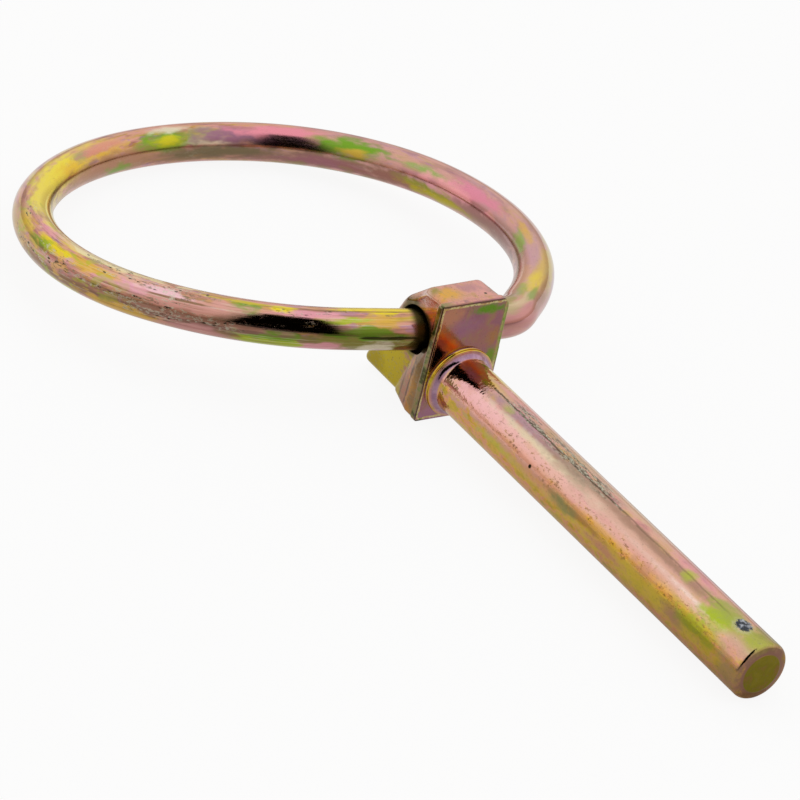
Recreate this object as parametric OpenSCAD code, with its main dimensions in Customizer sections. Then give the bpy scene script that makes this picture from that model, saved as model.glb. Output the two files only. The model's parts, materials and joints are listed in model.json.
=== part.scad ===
// Linch pin (lynch pin): a forged pin whose pierced head carries a sprung wire ring.
// Two separate pieces: the pin, with shank, collar, flange and head in one forging, and the ring.
// The pin lies as it comes to rest: on the flange's lower edge and the tip, with the ring laid back.
// Origin: on the shank's axis where the plain shank leaves the collar. +X runs along the shank.

/* [Shank] */
// Diameter of the plain shank
shank_d = 6; // [4.5:0.1:8]
// Length from the flange's face to the tip
shank_l = 50; // [35:0.5:70]
// Rounding round the tip's edge
tip_round = 0.5; // [0.3:0.05:1]
// Diameter of the flat face at the tip's end
tip_face_d = 4; // [2:0.1:4.4]
// Fall from that face to the tip's rounded edge
tip_fall = 0.14; // [0.05:0.01:0.4]

/* [Collar] */
// Diameter of the collar between flange and shank
collar_d = 7.5; // [6.6:0.1:7.9]
// Length of the collar's rim
collar_rim = 0.45; // [0.3:0.05:1]
// Radius of the sweep from the rim down to the shank
collar_sweep = 0.75; // [0.4:0.05:1.5]

/* [Flange] */
// Height of the flange above the shank's axis
flange_up = 9; // [7.6:0.1:11]
// Depth of the flange below the shank's axis
flange_down = 4.05; // [3.6:0.05:5]
// Width of the flange at its top
flange_w = 8.1; // [8:0.05:10]
// Width of the flange at its foot
foot_w = 8.55; // [8:0.05:10.4]
// Thickness of the flange at its edges
flange_t = 0.7; // [0.5:0.1:1.6]
// Rounding of the flange's corner outlines
flange_corner = 0.6; // [0.3:0.05:1.2]

/* [Head] */
// Distance of the hinge axis behind the flange's face
hinge_back = 4.15; // [4.1:0.05:5]
// Height of the hinge axis above the shank's axis
hinge_up = 3.9; // [3.4:0.1:4.5]
// Diameter of the hinge hole
bore_d = 4.8; // [4.4:0.05:5]
// Metal left over the hinge hole, at the head's sloping back
bore_wall = 1.05; // [0.8:0.05:1.6]
// Width of the head at the hinge hole
hinge_w = 6.8; // [6:0.1:7.6]
// Length of the head's top, from the flange's face to where the back begins to fall
top_l = 4.7; // [3:0.1:5]
// Fall of the top over that length
top_fall = 0.35; // [0.2:0.05:1.2]
// Length of the head, from the flange's face to its rearmost corner
head_l = 11.15; // [9:0.1:13]
// Depth of the head's underside below the shank's axis, at its rear end
tail_down = 3.9; // [2.5:0.05:4]
// Width of the head at its rear end
tail_w = 6.3; // [4.5:0.1:6.5]
// How far the flare behind the flange's lower half runs back
flare_l = 5.3; // [3:0.1:6]
// Rounding of the head's edges
head_round = 0.9; // [0.6:0.05:1.1]

/* [Ring] */
// Diameter of the ring's wire
wire_d = 4.1; // [3:0.05:4.3]
// Mean radius of the ring, to the middle of the wire
ring_r = 24.6; // [21:0.1:32]
// Gap between the wire's two ends inside the hinge hole
end_gap = 1.6; // [1:0.1:2.4]
// Angle at which the left tail leaves the head
left_lean = 19.6; // [14:0.1:25]
// Angle at which the right tail is cranked outside the head
right_lean = 39.9; // [30:0.1:48]

/* [Hidden] */
FINISH = "#c99a6a";

shank_r = shank_d/2;
wire_r = wire_d/2;
bore_r = bore_d/2;
flange_half = flange_w/2;
foot_half = foot_w/2;
// How much the head is narrower than the flange, on each side
NECK_IN = 0.7;
neck_half = flange_half - NECK_IN;
// How far the head stays inside the flange's upper and lower edges
EDGE_GAP = 0.05;
// The head's rear corners are struck a little sharper than its other edges
tail_round = head_round*0.8;
// The trimmed flange sits a little to the left of the shank
FLANGE_SKEW = 0.07;
// The forging's crown sits a little to the right and leans that way
CROWN_SKEW = 0.37;
CROWN_TILT = 1;
// How far the head's lower front corners draw in
UNDER_IN = 0.1;
// The flare's rounding, as a share of the head's
FLARE_ROUND = 0.6;
// How far the flare stands proud of the head's rear width, and inside the flange's edges
FLARE_PROUD = 0.15;
FLARE_IN = 0.03;
// Where the flare's widest and middle corners stand behind the flange, and how high the middle ones are
FLARE_WIDE = 1.75;
FLARE_MID = 1.6;
FLARE_MID_UP = 0.35;
// Where the flare runs out into the head's sides, as a share of its length
FLARE_OUT = 0.7;
// The cove's radius, as a share of the step from flange to head, and how far its top keeps below the head's
COVE_R = 1.6;
COVE_DOWN = 0.6;
// The flange's corner roundings as shares: lower left, lower right, upper right, upper left
CORNER_SHARE = [0.8, 1, 1.8, 0.6];
// How far the drill for the hinge hole runs past each side
DRILL_PAST = 1;
// Sides of the round forms: turned parts and hole, wire and large rounds, fillets, corners, rims, ring bends
TURNED = 96;
ROUND = 64;
FILLET = 48;
CORNER = 32;
RIM = 28;
BENDS = 180;
collar_l = collar_rim + collar_sweep;
// Length of the plain shank, from the flange's face to where the tip's rounding starts
straight_l = shank_l - tip_fall - tip_round;
hole_wall_r = bore_r + bore_wall;

// Lie of the pin: the line under the flange's lower edge and the tip's rounded edge.
lay = atan((flange_down - shank_r)/straight_l);
// Level of that line below the shank's axis, square to it, at the flange's face.
rest_depth = flange_down*cos(lay);
// Height of the hinge axis over the ground the pin lies on.
hinge_over_ground = rest_depth + hinge_back*sin(lay) + hinge_up*cos(lay);

// Each arc of the ring as bent: its radius as a share of the mean radius, and its turn.
// The last arc takes the turn that is left, so the ring always closes on the hinge hole.
ARC_SIZE = [1.2, 0.873, 1.084, 0.916, 1.188];
ARC_TURN = [36, 79.7, 65.2, 62.2];
// The straight land between one arc and the next.
LAND = 0.4;
// The straights are this much thinner than the bends, and run this far into them, so that each pair beds.
BED = 0.004;
LAP = 0.1;
// The short straight ends inside the hinge hole, and the bends just outside it.
LEFT_LEAN_IN = 8;
LEFT_OFFSET = 0.28;
LEFT_STRAIGHT = 2.6;
LEFT_BEND_R = 8;
RIGHT_LEAN_IN = -6;
RIGHT_OFFSET = 0.1;
RIGHT_STRAIGHT = 5.5;
RIGHT_BEND_R = 4;

// The ring's own plane: x runs away from the hinge axis, y along it, and a heading turns from -y to +x.
function heading(h) = [sin(h), -cos(h)];
function arc_centre(p, h, r) = p + r*[cos(h), sin(h)];
function arc_end(p, h, r, turn) = arc_centre(p, h, r) - r*[cos(h + turn), sin(h + turn)];
function sum_to(list, n) = n <= 0 ? 0 : list[n - 1] + sum_to(list, n - 1);

arc_turn = concat(ARC_TURN, [360 - left_lean - right_lean - sum_to(ARC_TURN, 4)]);
arc_r = [for (share = ARC_SIZE) share*ring_r];
arc_heading = [for (i = [0:4]) left_lean + sum_to(arc_turn, i)];

// Left end: out of the hole, then a soft bend.
left_in = [-LEFT_OFFSET, -end_gap/2];
left_bend = left_in + heading(LEFT_LEAN_IN)*LEFT_STRAIGHT/cos(LEFT_LEAN_IN);
left_out = arc_end(left_bend, LEFT_LEAN_IN, LEFT_BEND_R, left_lean - LEFT_LEAN_IN);
// Right end, from the hole outwards: straight past the flange, then a crank.
right_in = [RIGHT_OFFSET, end_gap/2];
right_bend = right_in - heading(-RIGHT_LEAN_IN)*RIGHT_STRAIGHT;
right_out = arc_centre(right_bend, -RIGHT_LEAN_IN, RIGHT_BEND_R)
    - RIGHT_BEND_R*[cos(-right_lean), sin(-right_lean)];

// Where each arc would start if the first began at the origin, and where the last one would end.
function chain_end(i) = arc_end(chain(i), arc_heading[i], arc_r[i], arc_turn[i]);
function chain(i) = i == 0 ? [0, 0] : chain_end(i - 1) + heading(arc_heading[i])*LAND;
// The straight tails take what is left between the arcs and the ends in the hole. The left one is solved
// here, and the right one runs from the last arc to its crank.
left_way = heading(left_lean);
right_way = heading(-right_lean);
span = right_out - left_out - chain_end(4);
det = left_way[0]*right_way[1] - left_way[1]*right_way[0];
left_tail = (span[0]*right_way[1] - span[1]*right_way[0])/det;
first_arc = left_out + left_way*left_tail;
arc_start = [for (i = [0:4]) first_arc + chain(i)];
last_arc_end = first_arc + chain_end(4);

// Farthest reach of the ring from the hinge axis, and the drop that lays it on the ground.
far_sides = [for (i = [0:4]) arc_centre(arc_start[i], arc_heading[i], arc_r[i])[0] + arc_r[i]];
far_ones = [for (i = [0:4]) if (arc_heading[i] <= 180 && arc_heading[i] + arc_turn[i] > 180) far_sides[i]];
ring_reach = far_ones[0];
ring_drop = asin((hinge_over_ground - wire_r)/ring_reach);

// ---- Pin ----

// A disc with rounded rims, its axis along y.
module round_disc(r, width, rim) {
    for (side = [-1, 1])
        translate([0, side*(width/2 - rim), 0])
            rotate([90, 0, 0])
                rotate_extrude($fn = ROUND)
                    translate([r - rim, 0])
                        circle(r = rim, $fn = RIM);
}

// A pair of rounded corners, one each side of the middle.
module corner_pair(x, half, z, r) {
    for (side = [-1, 1])
        translate([x, side*(half - r), z])
            sphere(r = r, $fn = CORNER);
}

// The head behind the flange: drafted sides, a sloping back and the metal round the hinge hole.
module head_block() {
    front = -head_round - EDGE_GAP;
    low = -flange_down + EDGE_GAP + head_round;
    hull() {
        translate([0, CROWN_SKEW, 0])
            rotate([CROWN_TILT, 0, 0]) {
                corner_pair(front, neck_half, flange_up - EDGE_GAP*2 - head_round, head_round);
                corner_pair(head_round - top_l, hinge_w/2, flange_up - top_fall - head_round, head_round);
            }
        translate([-hinge_back, 0, hinge_up])
            round_disc(hole_wall_r, hinge_w, head_round);
        corner_pair(tail_round - head_l, tail_w/2, tail_round - tail_down, tail_round);
        corner_pair(front, neck_half - UNDER_IN, low, head_round);
    }
}

// The flare that carries the lower half of the flange, fading out upwards.
module flare() {
    r = head_round*FLARE_ROUND;
    low = -flange_down + EDGE_GAP + r;
    top = hinge_up;
    middle = top*FLARE_MID_UP;
    hull() {
        corner_pair(r - flare_l, tail_w/2 + FLARE_PROUD, low, r);
        corner_pair(-FLARE_WIDE, foot_half - FLARE_IN, low, r);
        corner_pair(-r, foot_half - FLARE_IN, low, r);
        corner_pair(-FLARE_MID, flange_half - FLARE_IN, middle, r);
        corner_pair(-r, flange_half - FLARE_IN, top, r);
        corner_pair(r - flare_l*FLARE_OUT, neck_half, middle, r);
    }
}

// The hollow sweep between the flange's upper edges and the head's sides.
module cove() {
    r = NECK_IN*COVE_R;
    reach = flange_t/2 + r;
    under = -flange_down + flange_corner;
    intersection() {
        translate([0, 0, under])
            linear_extrude(height = flange_up - under)
                difference() {
                    translate([-reach, -flange_half + FLARE_IN])
                        square([reach - flange_t/4, 2*(flange_half - FLARE_IN)]);
                    for (side = [-1, 1])
                        translate([-flange_t - r, side*(neck_half + r)])
                            circle(r = r, $fn = ROUND);
                }
        // Its top falls with the head's own top
        rotate([90, 0, 0])
            linear_extrude(height = flange_w, center = true)
                polygon([
                    [0, -flange_down], [0, flange_up - COVE_DOWN],
                    [-top_l, flange_up - top_fall - COVE_DOWN], [-top_l, -flange_down]
                ]);
    }
}

// The flange's outline, with each corner rounded by its own share.
module flange_outline() {
    low = -flange_down;
    top = flange_up;
    left = -flange_half;
    right = flange_half;
    // Corner: x, y, inward signs, radius
    corners = [
        [-foot_half, low, 1, 1, flange_corner*CORNER_SHARE[0]],
        [foot_half, low, -1, 1, flange_corner*CORNER_SHARE[1]],
        [right, top, -1, -1, flange_corner*CORNER_SHARE[2]],
        [left, top, 1, -1, flange_corner*CORNER_SHARE[3]]
    ];
    for (c = corners)
        translate([c[0] + c[2]*c[4], c[1] + c[3]*c[4]])
            circle(r = c[4], $fn = CORNER);
    polygon([
        [-foot_half + corners[0][4], low], [foot_half - corners[1][4], low],
        [foot_half, low + corners[1][4]], [right, top - corners[2][4]],
        [right - corners[2][4], top], [left + corners[3][4], top],
        [left, top - corners[3][4]], [-foot_half, low + corners[0][4]]
    ]);
}

module flange() {
    rotate([0, -90, 0])
        rotate([0, 0, -90])
            mirror([1, 0, 0])
                linear_extrude(height = flange_t)
                    flange_outline();
}

// The collar and shank, turned about their axis, in half section.
module shank_section() {
    // Plain shank, from inside the flange to the tip's rounding, and the tip's shallow cone
    polygon([
        [0, -flange_t/2], [shank_r, -flange_t/2], [shank_r, straight_l],
        [shank_r - tip_round, straight_l + tip_round], [tip_face_d/2, shank_l], [0, shank_l]
    ]);
    intersection() {
        translate([shank_r - tip_round, straight_l])
            circle(r = tip_round, $fn = FILLET);
        translate([0, straight_l])
            square([shank_r, tip_round]);
    }
    // Collar rim
    translate([0, -flange_t/2])
        square([collar_d/2, collar_rim + flange_t/2]);
    // Sweep down to the shank
    difference() {
        square([collar_d/2, collar_l]);
        translate([shank_r + collar_sweep, collar_rim + collar_sweep])
            circle(r = collar_sweep, $fn = FILLET);
    }
}

module shank() {
    rotate([0, 90, 0])
        rotate_extrude($fn = TURNED)
            shank_section();
}

module pin() {
    color(FINISH)
        rotate([0, lay, 0])
            translate([-collar_l, 0, 0])
                difference() {
                    union() {
                        head_block();
                        translate([0, -FLANGE_SKEW, 0]) {
                            flare();
                            cove();
                            flange();
                        }
                        shank();
                    }
                    translate([-hinge_back, 0, hinge_up])
                        rotate([90, 0, 0])
                            cylinder(r = bore_r, h = flange_w + 2*DRILL_PAST, center = true, $fn = TURNED);
                }
}

// ---- Ring ----

// A straight length of wire from p to q in the ring's plane, lapped into what meets each end.
module wire_straight(p, q, lap_p = LAP, lap_q = LAP) {
    run = q - p;
    translate([p[0], p[1], 0])
        rotate([0, 90, atan2(run[1], run[0])])
            translate([0, 0, -lap_p])
                cylinder(r = wire_r - BED, h = norm(run) + lap_p + lap_q, $fn = ROUND);
}

// A bend of wire that starts at p with heading h.
module wire_bend(p, h, r, turn) {
    c = arc_centre(p, h, r);
    translate([c[0], c[1], 0])
        rotate([0, 0, h + 180])
            rotate_extrude(angle = turn, $fn = BENDS)
                translate([r, 0])
                    circle(r = wire_r, $fn = ROUND);
}

module ring() {
    color(FINISH)
        rotate([0, lay, 0])
            translate([-collar_l - hinge_back, 0, hinge_up])
                rotate([0, 180 - ring_drop - lay, 0]) {
                    wire_straight(left_in, left_bend, lap_p = 0);
                    wire_bend(left_bend, LEFT_LEAN_IN, LEFT_BEND_R, left_lean - LEFT_LEAN_IN);
                    wire_straight(left_out, first_arc);
                    for (i = [0:4])
                        wire_bend(arc_start[i], arc_heading[i], arc_r[i], arc_turn[i]);
                    for (i = [1:4])
                        wire_straight(arc_start[i] - heading(arc_heading[i])*LAND, arc_start[i]);
                    wire_straight(last_arc_end, right_out);
                    wire_bend(right_out, -right_lean, RIGHT_BEND_R, right_lean - RIGHT_LEAN_IN);
                    wire_straight(right_bend, right_in, lap_q = 0);
                }
}

pin();
ring();
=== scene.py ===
# %% [markdown]
# # A lynch pin in bright yellow zinc
# A lynch pin keeps a hitch together: its shank drops through a drilled hole and its
# sprung ring folds over to the tip. The real one is two pieces, a forged pin and a bent
# wire ring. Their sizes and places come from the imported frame, so this script gives them
# what a frame lacks: soft forged edges, drawn wire and the rainbow skin of the plating.

# %% Load the frame
import json
import math

import bpy
import numpy as np
from mathutils import Matrix, Vector


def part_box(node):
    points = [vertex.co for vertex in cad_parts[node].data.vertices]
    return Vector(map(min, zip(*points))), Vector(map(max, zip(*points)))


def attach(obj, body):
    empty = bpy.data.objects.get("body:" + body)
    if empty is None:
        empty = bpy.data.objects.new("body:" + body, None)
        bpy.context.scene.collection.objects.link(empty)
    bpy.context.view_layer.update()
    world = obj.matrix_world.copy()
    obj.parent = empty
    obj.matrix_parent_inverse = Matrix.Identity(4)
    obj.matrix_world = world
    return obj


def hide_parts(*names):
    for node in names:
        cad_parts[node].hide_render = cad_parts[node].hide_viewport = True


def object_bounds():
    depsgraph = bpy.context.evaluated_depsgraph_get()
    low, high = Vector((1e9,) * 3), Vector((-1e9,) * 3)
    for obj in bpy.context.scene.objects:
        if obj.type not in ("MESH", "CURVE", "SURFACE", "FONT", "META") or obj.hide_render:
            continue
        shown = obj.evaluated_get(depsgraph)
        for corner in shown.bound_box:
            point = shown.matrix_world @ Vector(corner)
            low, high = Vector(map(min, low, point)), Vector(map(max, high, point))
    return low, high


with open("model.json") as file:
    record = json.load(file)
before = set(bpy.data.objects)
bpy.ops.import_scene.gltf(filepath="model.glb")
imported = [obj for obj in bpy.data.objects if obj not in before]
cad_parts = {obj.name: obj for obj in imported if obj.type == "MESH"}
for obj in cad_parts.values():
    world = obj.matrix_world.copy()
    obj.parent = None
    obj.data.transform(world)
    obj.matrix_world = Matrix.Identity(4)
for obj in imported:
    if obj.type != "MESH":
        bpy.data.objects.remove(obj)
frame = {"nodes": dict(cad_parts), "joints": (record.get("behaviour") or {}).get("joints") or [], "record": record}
cad_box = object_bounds()
MM = 0.001

# %% [markdown]
# Every length below is in millimetres, as on a drawing, and is turned into metres only
# when it meets Blender. The pin lies a little nose-down, because its flange reaches
# lower than its shank, so the pin has axes of its own inside the frame.

# %% Axes of the pin and of the ring
hinge = Vector(frame["joints"][0]["pos_m"])
shank_mount = next(m for m in frame["record"]["mounts"] if m["name"] == "shank")
pin_axis = Vector(shank_mount["axis"]).normalized()
pin_turn = Vector((1, 0, 0)).rotation_difference(pin_axis).to_matrix().to_4x4()
ring_low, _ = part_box("ring")
WIRE_R = 2.05
# From the hinge to the middle of the wire at the ring's far side
RING_REACH = 48.92
SHANK_R = shank_mount["dims"]["r_mm"]
ring_drop = math.asin((hinge.z - ring_low.z - WIRE_R * MM) / (RING_REACH * MM))
print("pin tilts", round(math.degrees(pin_axis.angle(Vector((1, 0, 0)))), 2), "degrees")
print("ring drops", round(math.degrees(ring_drop), 2), "degrees")

# %% [markdown]
# Blender's operators work on whatever is selected, so each new piece starts by
# deselecting everything. A finished piece keeps its object at the origin, with its place
# in its mesh.

# %% Bench helpers
# Points closer than this, in millimetres, are one point
MERGE = 0.0005


def clear_bench():
    if bpy.context.object and bpy.context.object.mode != "OBJECT":
        bpy.ops.object.mode_set(mode="OBJECT")
    bpy.ops.object.select_all(action="DESELECT")


def name_it(name):
    piece = bpy.context.object
    piece.name = name
    piece.data.name = name
    return piece


def set_in_place(piece, place):
    """Puts a piece's mesh where it belongs and leaves its object at the origin."""
    piece.data.transform(place @ piece.matrix_world)
    piece.matrix_world = Matrix.Identity(4)
    piece.data.update()


def apply_all(piece):
    clear_bench()
    piece.select_set(True)
    bpy.context.view_layer.objects.active = piece
    for modifier in list(piece.modifiers):
        bpy.ops.object.modifier_apply(modifier=modifier.name)


def report(piece):
    size = [round(v / MM, 2) for v in piece.dimensions]
    print(piece.name, "faces", len(piece.data.polygons), "size mm", size)


def point_at(angle):
    """The point at an angle, in degrees, on a circle of radius 1."""
    return Vector((math.cos(math.radians(angle)), math.sin(math.radians(angle))))


print("bench ready, points merge within", MERGE, "mm")

# %% [markdown]
# ## The ring
# A ring bender feeds straight spring wire between rollers, so a ring is a chain of
# arcs that are never quite equal. It is made the same way here: a circle, the wire's
# section, is pushed along straights with extrude and round bends with spin.

# %% The ring's run of wire, from the left end in the hinge hole to the right end
RING_R = 24.6
LEFT_LEAN_IN, LEFT_LEAN = 8.0, 19.6
RIGHT_LEAN_IN, RIGHT_LEAN = -6.0, 39.9
LEFT_BEND_R, RIGHT_BEND_R = 8.0, 4.0
# Straight lengths: from the left end out of the hole, the right end, and between two arcs
LEFT_REACH, RIGHT_RUN, LAND = 2.6, 5.5, 0.4
left_end, right_end = Vector((-0.28, -0.8)), Vector((0.1, 0.8))
arc_turns = [36.0, 79.7, 65.2, 62.2]
arc_turns.append(360 - LEFT_LEAN - RIGHT_LEAN - sum(arc_turns))
arc_radii = [RING_R * share for share in (1.2, 0.873, 1.084, 0.916, 1.188)]


def heading(angle):
    return Vector((math.sin(math.radians(angle)), -math.cos(math.radians(angle))))


def run_wire(left_tail, right_tail):
    """The run as (kind, length or radius, turn) steps."""
    run = [("straight", LEFT_REACH / math.cos(math.radians(LEFT_LEAN_IN)), 0),
           ("bend", LEFT_BEND_R, LEFT_LEAN - LEFT_LEAN_IN), ("straight", left_tail, 0)]
    for radius, turn in zip(arc_radii, arc_turns):
        run += [("bend", radius, turn), ("straight", LAND, 0)]
    # The last arc runs straight into the right tail, with no land
    run[-1] = ("straight", right_tail, 0)
    return run + [("bend", RIGHT_BEND_R, RIGHT_LEAN - RIGHT_LEAN_IN), ("straight", RIGHT_RUN, 0)]


def end_of(run):
    place, angle = left_end.copy(), LEFT_LEAN_IN
    for kind, size, turn in run:
        if kind == "straight":
            place = place + heading(angle) * size
        else:
            centre = place + size * point_at(angle)
            angle += turn
            place = centre - size * point_at(angle)
    return place


# The two straight tails close the ring: they are solved from the gap left without them.
gap = right_end - end_of(run_wire(0, 0))
way_in, way_out = heading(LEFT_LEAN), heading(360 - RIGHT_LEAN)
det = way_in.x * way_out.y - way_in.y * way_out.x
left_tail = (gap.x * way_out.y - gap.y * way_out.x) / det
right_tail = (way_in.x * gap.y - way_in.y * gap.x) / det
wire_run = run_wire(left_tail, right_tail)
print("tails mm", round(left_tail, 2), round(right_tail, 2))

# %% Push the wire's section along the run
SECTION_SIDES = 64
# Length of wire, in millimetres, from one section to the next
STEP = 0.45
clear_bench()
bpy.ops.mesh.primitive_circle_add(vertices=SECTION_SIDES, radius=WIRE_R, fill_type="NGON")
ring = name_it("ring_wire")
turn_in = Matrix.Rotation(math.radians(LEFT_LEAN_IN), 4, "Z") @ Matrix.Rotation(math.radians(90), 4, "X")
set_in_place(ring, Matrix.Translation(left_end.to_3d()) @ turn_in)
bpy.ops.object.mode_set(mode="EDIT")
bpy.ops.mesh.select_all(action="SELECT")
place, angle = left_end.copy(), LEFT_LEAN_IN
centreline = [place.copy()]
for kind, size, turn in wire_run:
    if kind == "straight":
        steps = max(1, round(size / STEP))
        push = (heading(angle) * size / steps).to_3d()
        for _ in range(steps):
            bpy.ops.mesh.extrude_region_move(TRANSFORM_OT_translate={"value": push})
            place = place + push.xy
            centreline.append(place.copy())
    else:
        steps = max(2, round(math.radians(turn) * size / STEP))
        centre = place + size * point_at(angle)
        # Run without a window, the spin tool turns clockwise about its axis.
        bpy.ops.mesh.spin(steps=steps, angle=-math.radians(turn), center=centre.to_3d(), axis=(0, 0, 1))
        for i in range(1, steps + 1):
            centreline.append(centre - size * point_at(angle + turn * i / steps))
        angle += turn
        place = centreline[-1]
bpy.ops.object.mode_set(mode="OBJECT")
report(ring)

# %% [markdown]
# Plated wire shows its history lengthwise, so each point also remembers where it lies on
# the straight wire before bending: how far along, and where round the section. Finishes
# read that place, and stay on the wire whatever its bends do.

# %% Remember each point's place on the straight wire
# Points handled at a time, to keep the tables of distances small
BATCH = 4000


def mark_wire_places(piece, line):
    points = np.array([tuple(p) for p in line])
    steps = np.linalg.norm(np.diff(points, axis=0), axis=1)
    along = np.concatenate([[0.0], np.cumsum(steps)])
    directions = np.gradient(points, axis=0)
    directions /= np.linalg.norm(directions, axis=1)[:, None]
    outward = np.stack([directions[:, 1], -directions[:, 0]], axis=1)
    co = np.array([v.co[:] for v in piece.data.vertices])
    places = np.zeros((len(co), 3))
    for first in range(0, len(co), BATCH):
        some = co[first:first + BATCH, :2]
        near = ((some[:, None] - points[None]) ** 2).sum(2).argmin(1)
        offset = some - points[near]
        places[first:first + BATCH, 0] = along[near] + (offset * directions[near]).sum(1)
        places[first:first + BATCH, 1] = (offset * outward[near]).sum(1)
    places[:, 2] = co[:, 2]
    attribute = piece.data.attributes.new("wire_place", "FLOAT_VECTOR", "POINT")
    attribute.data.foreach_set("vector", places.astype(np.float32).ravel())
    return along[-1]


wire_length = mark_wire_places(ring, centreline)
print("wire length mm", round(wire_length, 1))

# %% [markdown]
# The ring was bent flat on the bench. It is now turned about the hinge until it lies back
# on the ground, and only there do its millimetres become metres.

# %% Lay the ring back behind the head
# Facets that meet at less than this many degrees are shaded as one smooth surface
RING_CREASE = 50
lay_back = Matrix.Rotation(math.pi - ring_drop, 4, "Y")
ring_place = Matrix.Translation(hinge) @ lay_back @ Matrix.Scale(MM, 4)
clear_bench()
ring.select_set(True)
bpy.context.view_layer.objects.active = ring
bpy.ops.object.mode_set(mode="EDIT")
bpy.ops.mesh.select_all(action="SELECT")
bpy.ops.mesh.normals_make_consistent(inside=False)
bpy.ops.object.mode_set(mode="OBJECT")
bpy.ops.object.shade_smooth_by_angle(angle=math.radians(RING_CREASE))
set_in_place(ring, ring_place)
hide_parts("ring")
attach(ring, "ring")
report(ring)

# %% [markdown]
# ## The pin
# The pin is forged: a bar end is struck between two dies, the flash is trimmed, and the
# hole is drilled. So no edge is sharp. Shank and collar are bodies of revolution, and are
# turned here as a lathe would: half an outline is drawn, then spun about the axis.

# %% Outline of collar and shank, as (distance from the flange's face, radius)
COLLAR_L = 1.2
SHANK_L = 50.0
TIP_ROUND, TIP_FACE_R, TIP_FALL = 0.5, 2.0, 0.14
COLLAR_R, COLLAR_RIM, COLLAR_SWEEP = 3.75, 0.45, 0.75


def arc_points(centre, radius, first, last, steps):
    angles = [math.radians(first + (last - first) * i / steps) for i in range(steps + 1)]
    return [(centre[0] + radius * math.cos(a), centre[1] + radius * math.sin(a)) for a in angles]


# The turning starts this far inside the flange, so that the two can be welded
ROOT = 0.3
RIM_ROUND = 0.12
outline = [(-ROOT, 0.0), (-ROOT, COLLAR_R), (COLLAR_RIM - RIM_ROUND, COLLAR_R)]
outline += arc_points((COLLAR_RIM - RIM_ROUND, COLLAR_R - RIM_ROUND), RIM_ROUND, 90, 0, 5)[1:]
sweep_centre = (COLLAR_RIM + COLLAR_SWEEP, SHANK_R + COLLAR_SWEEP)
outline += arc_points(sweep_centre, COLLAR_SWEEP, 191, 270, 10)
# A ring of points every millimetre keeps the faces of the plain shank short
outline += [(COLLAR_L + 0.4 + i, SHANK_R) for i in range(48)]
tip_centre = (SHANK_L - TIP_FALL - TIP_ROUND, SHANK_R - TIP_ROUND)
outline += arc_points(tip_centre, TIP_ROUND, 90, 14, 10)
outline += [(SHANK_L, TIP_FACE_R), (SHANK_L, TIP_FACE_R - 0.15), (SHANK_L, 0.0)]
print("points in the outline:", len(outline))

# %% Turn the outline about the shank's axis
TURN_STEPS = 144
clear_bench()
bpy.ops.mesh.primitive_plane_add(size=0.01)
shank = name_it("shank_turning")
bpy.ops.object.mode_set(mode="EDIT")
bpy.ops.mesh.select_all(action="SELECT")
bpy.ops.mesh.merge(type="CENTER")
bpy.ops.transform.translate(value=(outline[0][0] - COLLAR_L, 0, outline[0][1]))
for (x0, r0), (x1, r1) in zip(outline, outline[1:]):
    bpy.ops.mesh.extrude_region_move(TRANSFORM_OT_translate={"value": (x1 - x0, 0, r1 - r0)})
bpy.ops.mesh.select_all(action="SELECT")
bpy.ops.mesh.spin(steps=TURN_STEPS, angle=math.radians(360), center=(0, 0, 0), axis=(1, 0, 0))
bpy.ops.mesh.select_all(action="SELECT")
bpy.ops.mesh.remove_doubles(threshold=MERGE)
bpy.ops.mesh.normals_make_consistent(inside=False)
bpy.ops.object.mode_set(mode="OBJECT")
report(shank)

# %% [markdown]
# The head's true form is taken from the frame: a copy is cut off at the flange's face.
# Melting it into a skin of tiny squares, and easing that a little, rounds every edge the
# way a die leaves it. Then head and shank are welded into one skin.

# %% Take the head from the frame
head = bpy.data.objects.new("head_blank", frame["nodes"]["pin"].data.copy())
bpy.context.scene.collection.objects.link(head)
to_pin = pin_turn.inverted() @ Matrix.Scale(1 / MM, 4)
head.data.transform(to_pin @ frame["nodes"]["pin"].matrix_world)
clear_bench()
head.select_set(True)
bpy.context.view_layer.objects.active = head
bpy.ops.object.mode_set(mode="EDIT")
bpy.ops.mesh.select_all(action="SELECT")
bpy.ops.mesh.remove_doubles(threshold=MERGE)
bpy.ops.mesh.select_all(action="SELECT")
# The cut is a hair behind the flange's face, clear of the collar's own flat
CUT_BACK = 0.005
bpy.ops.mesh.bisect(plane_co=(-COLLAR_L - CUT_BACK, 0, 0), plane_no=(1, 0, 0), use_fill=True,
                    clear_outer=True)
bpy.ops.object.mode_set(mode="OBJECT")
report(head)

# %% Melt and ease the head
# Size of the skin's squares, in millimetres
VOXEL = 0.1
head.data.remesh_voxel_size = VOXEL
bpy.ops.object.voxel_remesh()
soften = head.modifiers.new("soften", "SMOOTH")
soften.factor = 0.5
soften.iterations = 5
apply_all(head)
report(head)

# %% Weld head and shank
PIN_CREASE = 45
weld = head.modifiers.new("weld", "BOOLEAN")
weld.operation = "UNION"
weld.solver = "MANIFOLD"
weld.object = shank
apply_all(head)
bpy.data.objects.remove(shank)
pin = name_it("pin_forging")
bpy.ops.object.shade_smooth_by_angle(angle=math.radians(PIN_CREASE))
set_in_place(pin, pin_turn @ Matrix.Scale(MM, 4))
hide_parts("pin")
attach(pin, "pin")
report(pin)

# %% [markdown]
# ## The plating
# Bright zinc is dipped in a chromate bath that leaves a film thinner than a wavelength of
# light. Its thickness wanders, so one steel part shows rose, gold, orange and green side
# by side. Each finish is a polished metal whose colour is built up in layers, as the bath
# built it: a wandering ground first, then the patches where it drained late.

# %% A short way of wiring nodes
# Degrees in a radian
DEGREES = 180 / math.pi


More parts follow.
